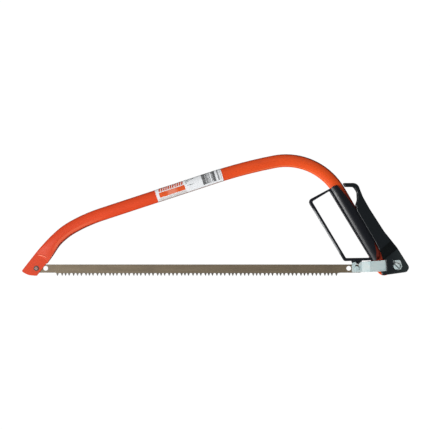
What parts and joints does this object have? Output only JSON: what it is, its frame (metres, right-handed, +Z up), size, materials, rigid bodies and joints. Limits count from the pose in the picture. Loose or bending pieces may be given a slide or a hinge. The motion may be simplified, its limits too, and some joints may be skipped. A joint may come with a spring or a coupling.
{
  "type": "bow saw",
  "caption": "Bow saw with a bent oval tube frame, a peg-tooth blade, a moulded grip with a knuckle guard and an over-centre lever that tensions the blade.",
  "frame": {"origin": "centre of the tube inside the hand grip, half way up the grip", "axes": "+X back along the blade from the front pin to the lever, +Z up with the teeth facing down, Y across the saw"},
  "size_m": [0.6387, 0.021, 0.201],
  "materials": {
    "orange_enamel": "glossy powder coat",
    "black_plastic": "satin moulded nylon",
    "lever_plastic": "satin moulded nylon",
    "zinc_plate": "bright zinc plating",
    "blade_steel": "oiled brown-grey spring steel with hardened teeth",
    "spring_steel": "dark phosphate",
    "label_paper": null
  },
  "bodies": {
    "frame": {"frame_tube": "orange_enamel", "front_blade_pin": "zinc_plate", "pin_retaining_ring": "spring_steel", "grip_and_guard": "black_plastic", "label": "label_paper", "lever_pivot_rivet": "zinc_plate"},
    "lever": {"tension_lever": "lever_plastic", "lever_pivot_bush": "zinc_plate", "link_bush": "zinc_plate", "link_screw": "zinc_plate", "link_nut": "zinc_plate"},
    "link": {"tension_link": "zinc_plate"},
    "blade": {"saw_blade": "blade_steel", "blade_rear_stud": "zinc_plate"}
  },
  "joints": [
    {"name": "lever_swing", "type": "hinge", "parent": "frame", "child": "lever", "pos_m": [0.0406, 0, -0.06893], "axis": [0, 1, 0], "range_deg": [0, 85]},
    {"name": "link_swing", "type": "hinge", "parent": "lever", "child": "link", "pos_m": [0.0603, 0, -0.06623], "axis": [0, 1, 0], "range_deg": [-118, 0]},
    {"name": "blade_swing", "type": "hinge", "parent": "frame", "child": "blade", "pos_m": [-0.53463, 0, -0.06984], "axis": [0, 1, 0], "range_deg": [0, 6.3]}
  ],
  "couplings": [
    {"joint": "link_swing", "follows": "lever_swing", "ratio": -1.385},
    {"joint": "blade_swing", "follows": "lever_swing", "ratio": 0.073}
  ]
}
